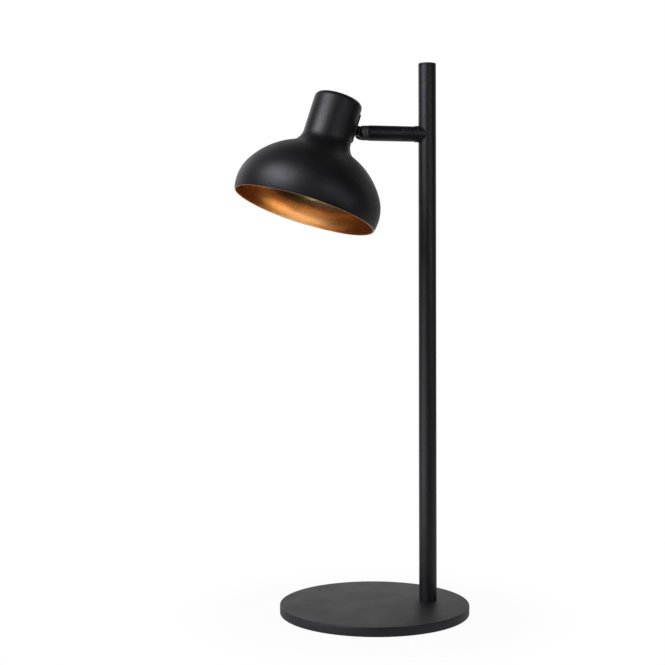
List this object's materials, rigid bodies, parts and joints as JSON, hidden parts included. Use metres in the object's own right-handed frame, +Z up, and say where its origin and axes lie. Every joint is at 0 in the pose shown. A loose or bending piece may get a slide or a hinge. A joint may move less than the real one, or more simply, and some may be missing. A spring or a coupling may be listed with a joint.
{
  "type": "desk lamp",
  "caption": "Desk lamp with a round weighted base, an upright pole set off centre and a short swivelling arm that carries a tilting spun shade over the base.",
  "frame": {"origin": "centre of the round base's underside, on the surface that the lamp stands on", "axes": "+Z up along the pole, +X from the base's centre towards the pole, so the arm points along -X"},
  "size_m": [0.212, 0.17, 0.4963],
  "materials": {
    "black_coat": "fine textured matt black powder coat; the inside of the shade is brushed copper",
    "plain_steel": "zinc plated steel",
    "pad_foam": "fine grained pad",
    "grommet_rubber": "smooth rubber",
    "friction_ring": "turned plastic washer",
    "lead_jacket": "smooth cable jacket",
    "holder_ceramic": "glazed white ceramic",
    "lamp_white": "satin white moulding",
    "lens_frosted": "frosted"
  },
  "bodies": {
    "stand": {"base_plate": "black_coat", "base_pad": "pad_foam", "cable_grommet": "grommet_rubber", "foot_washer": "plain_steel", "foot_nut": "plain_steel", "foot_stud": "plain_steel", "foot_insert": "plain_steel", "pole_tube": "black_coat", "pole_cap": "black_coat", "arm_saddle": "black_coat", "stop_pin": "plain_steel", "swivel_stud": "plain_steel", "brake_washer": "friction_ring", "swivel_spring": "plain_steel", "swivel_nut": "plain_steel", "pole_lead": "lead_jacket"},
    "arm": {"swivel_sleeve": "black_coat", "sleeve_coupler": "plain_steel", "arm_tube": "black_coat", "arm_fork": "black_coat", "pivot_screw": "black_coat", "pivot_nut": "black_coat", "tilt_washers": "friction_ring", "arm_lead": "lead_jacket"},
    "head": {"neck_bracket": "black_coat", "bracket_screws": "plain_steel", "shade": "black_coat", "holder_strap": "plain_steel", "lamp_holder": "holder_ceramic", "holder_screws": "plain_steel", "lamp_body": "lamp_white", "lamp_lens": "lens_frosted", "head_lead": "lead_jacket"}
  },
  "joints": [
    {"name": "arm_swivel", "type": "hinge", "parent": "stand", "child": "arm", "pos_m": [0.0391, 0, 0.4316], "axis": [-1, 0, 0], "range_deg": [-169.7, 160.3]},
    {"name": "head_tilt", "type": "hinge", "parent": "arm", "child": "head", "pos_m": [-0.0105, 0, 0.4316], "axis": [0, 0.9966, -0.0819], "range_deg": [-29, 56]}
  ]
}
